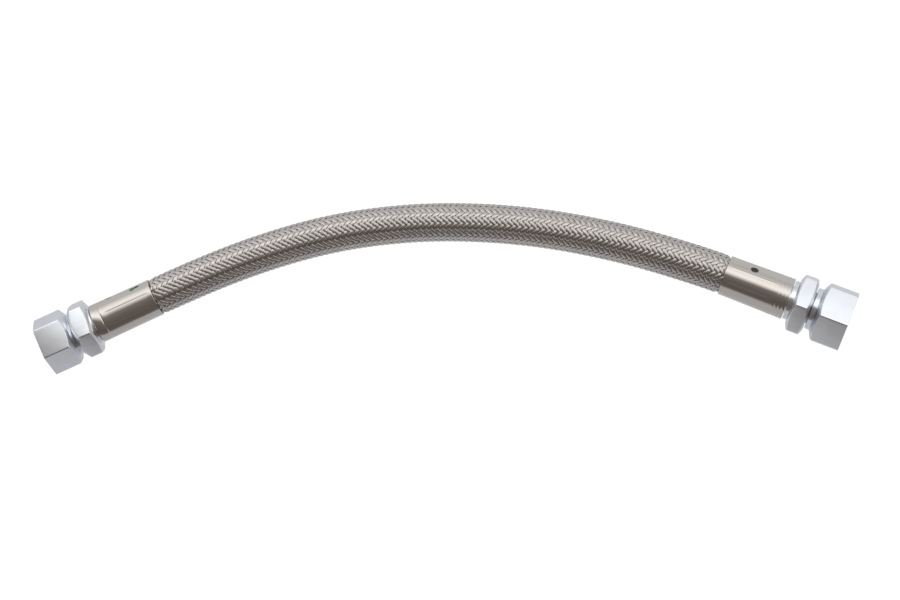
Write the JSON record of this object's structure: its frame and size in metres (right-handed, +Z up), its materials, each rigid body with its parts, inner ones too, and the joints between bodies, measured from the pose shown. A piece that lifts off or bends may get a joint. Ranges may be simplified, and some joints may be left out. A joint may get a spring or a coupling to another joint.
{
  "type": "braided fuel line",
  "caption": "Flexible fuel hose in a woven steel sleeve, crimped at each end to a stem with a captive swivel nut, lying in a shallow bend.",
  "frame": {"origin": "centre of the bounding box, on the surface that the line lies on", "axes": "+X from the smaller nut to the larger nut, +Y to the outside of the bend, +Z up"},
  "size_m": [0.3122, 0.065, 0.0261],
  "materials": {
    "braid_steel": "woven bright steel wire, slightly warm grey",
    "liner_rubber": "smooth black rubber",
    "ferrule_nickel": "polished, warm nickel tone",
    "stem_chrome": "bright plated, turned and milled steel",
    "seal_rubber": "matt black rubber",
    "nut_chrome": "bright plated steel"
  },
  "bodies": {
    "hose": {"braided_sleeve": "braid_steel", "liner_tube": "liner_rubber", "left_ferrule": "ferrule_nickel", "right_ferrule": "ferrule_nickel", "left_hose_stem": "stem_chrome", "right_hose_stem": "stem_chrome", "left_seal_ring": "seal_rubber", "right_seal_ring": "seal_rubber"},
    "left_nut": {"left_swivel_nut": "nut_chrome"},
    "right_nut": {"right_swivel_nut": "nut_chrome"}
  },
  "joints": [
    {"name": "left_nut_spin", "type": "hinge", "parent": "hose", "child": "left_nut", "pos_m": [-0.15133, -0.02219, 0.01201], "axis": [0.9092, 0.4143, -0.0419], "continuous": true},
    {"name": "right_nut_spin", "type": "hinge", "parent": "hose", "child": "right_nut", "pos_m": [0.15161, -0.01217, 0.01383], "axis": [-0.9298, 0.3588, -0.0819], "continuous": true}
  ]
}
